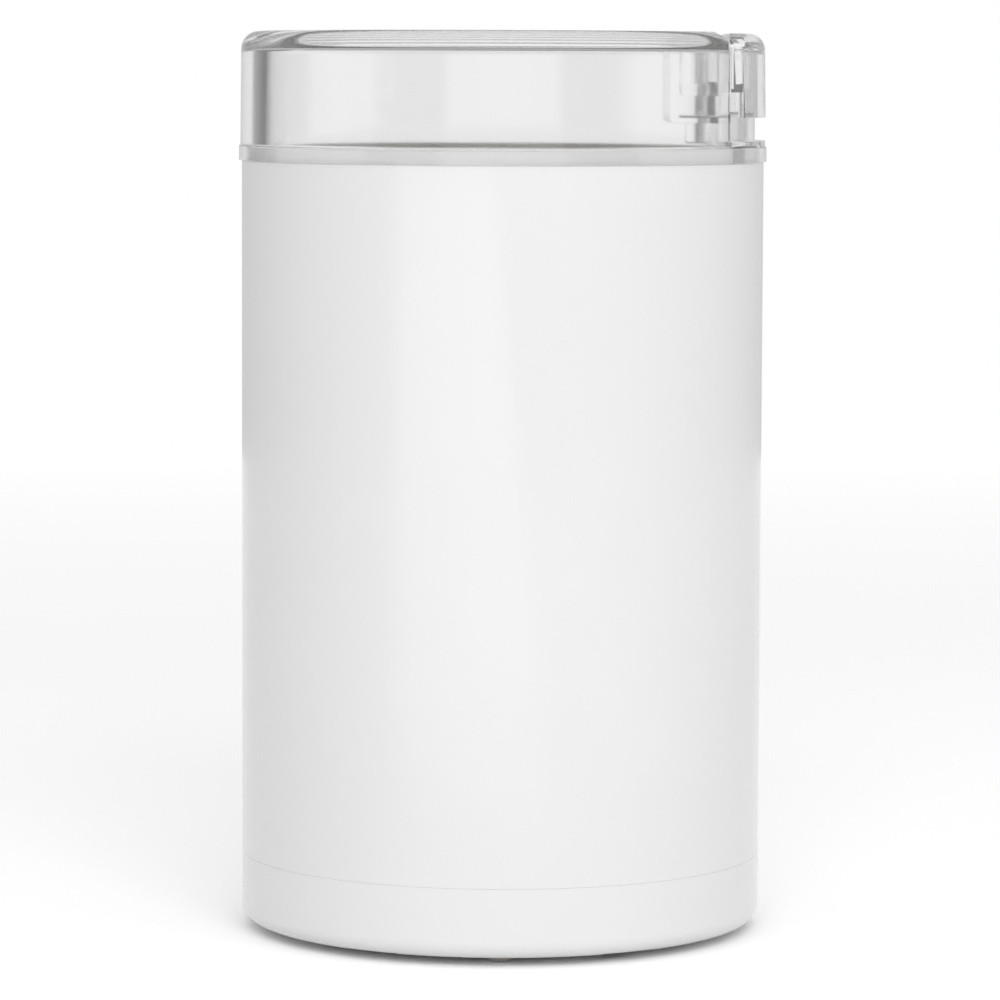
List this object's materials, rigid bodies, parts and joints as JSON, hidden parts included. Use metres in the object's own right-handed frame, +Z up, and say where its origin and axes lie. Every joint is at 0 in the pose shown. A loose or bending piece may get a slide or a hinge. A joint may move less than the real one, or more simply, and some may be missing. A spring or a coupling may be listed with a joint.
{
  "type": "electric spice grinder",
  "caption": "Round electric blade grinder for spices with a white body, a clear lid and a push button in the lid that works the motor switch.",
  "frame": {"origin": "on the table under the centre of the body, at the bottom of the feet", "axes": "+Z up along the motor axis, -Y to the front, +X towards the push button, +Y to the rear with the cord inlet"},
  "size_m": [0.0992, 0.0992, 0.169],
  "materials": {
    "white_shell": "glossy white moulded ABS",
    "clear_plastic": "clear moulded SAN",
    "clear_button": "clear moulded SAN",
    "clear_rubber": "pale silicone",
    "grey_rubber": "grey silicone",
    "black_rubber": "black rubber",
    "inner_plastic": "natural nylon",
    "dark_plastic": "black glass-filled nylon",
    "red_plastic": "red acetal",
    "brown_resin": "phenolic resin",
    "yellow_case": "capacitor case",
    "bowl_steel": "spun stainless steel",
    "blade_steel": "ground stainless steel",
    "shaft_steel": "ground steel",
    "nut_steel": "polished stainless steel",
    "zinc_steel": "zinc plated steel",
    "spring_steel": "spring steel",
    "lamination": "electrical steel laminations",
    "cast_metal": "die-cast aluminium",
    "copper_wire": "enamelled copper wire",
    "copper_bar": "turned copper",
    "brass": "pressed brass",
    "bronze": "sintered bronze",
    "carbon": "pressed carbon"
  },
  "bodies": {
    "base": {"housing": "white_shell", "base_cover": "white_shell", "feet": "clear_rubber", "base_screws": "zinc_steel", "cord_gland": "grey_rubber", "capacitor": "yellow_case", "grinding_bowl": "bowl_steel", "bowl_gasket": "grey_rubber", "bowl_seal": "grey_rubber", "nut_washer": "grey_rubber", "bowl_nut": "nut_steel", "shaft_seal": "black_rubber", "top_bush": "bronze", "motor_mount": "inner_plastic", "mount_dampers": "black_rubber", "mount_screws": "zinc_steel", "upper_bracket": "cast_metal", "bracket_screws": "zinc_steel", "lower_bracket": "dark_plastic", "frame_bolts": "zinc_steel", "stator_core": "lamination", "field_coils": "copper_wire", "upper_bearing": "bronze", "lower_bearing": "bronze", "brush_holders": "brass", "carbon_brushes": "carbon", "brush_springs": "spring_steel", "brush_caps": "dark_plastic", "switch_body": "dark_plastic", "switch_terminals": "brass", "switch_screws": "zinc_steel", "lever_pin": "spring_steel", "rod_spring": "spring_steel"},
    "rotor": {"motor_shaft": "shaft_steel", "rotor_core": "lamination", "rotor_windings": "copper_wire", "commutator_hub": "brown_resin", "commutator_bars": "copper_bar", "thrust_washers": "inner_plastic", "cooling_fan": "inner_plastic", "blade_spacer": "shaft_steel", "blade": "blade_steel", "blade_nut": "nut_steel"},
    "rod": {"push_rod": "inner_plastic"},
    "pin": {"switch_pin": "red_plastic"},
    "lever": {"switch_lever": "spring_steel"},
    "lid": {"lid": "clear_plastic"},
    "button": {"lid_button": "clear_button"}
  },
  "joints": [
    {"name": "drive_spin", "type": "hinge", "parent": "base", "child": "rotor", "pos_m": [0, 0, 0.06], "axis": [0, 0, 1], "continuous": true},
    {"name": "lid_lift", "type": "slide", "parent": "base", "child": "lid", "axis": [0, 0, 1], "range_m": [0, 0.09]},
    {"name": "button_press", "type": "slide", "parent": "lid", "child": "button", "axis": [0, 0, -1], "range_m": [0, 0.0035], "stiffness_N_per_m": 500, "springref_m": -0.002},
    {"name": "rod_slide", "type": "slide", "parent": "base", "child": "rod", "axis": [0, 0, -1], "range_m": [0, 0.0035], "deforming": ["rod_spring"]},
    {"name": "lever_tilt", "type": "hinge", "parent": "base", "child": "lever", "pos_m": [0.0397, -0.011, 0.04136], "axis": [1, 0, 0], "range_deg": [-15.4, 0]},
    {"name": "pin_slide", "type": "slide", "parent": "base", "child": "pin", "axis": [0, 0, -1], "range_m": [0, 0.0009]}
  ],
  "couplings": [
    {"joint": "rod_slide", "follows": "button_press", "ratio": 1},
    {"joint": "lever_tilt", "follows": "button_press", "rad_per_m": -76.3},
    {"joint": "pin_slide", "follows": "button_press", "ratio": 0.2286}
  ]
}
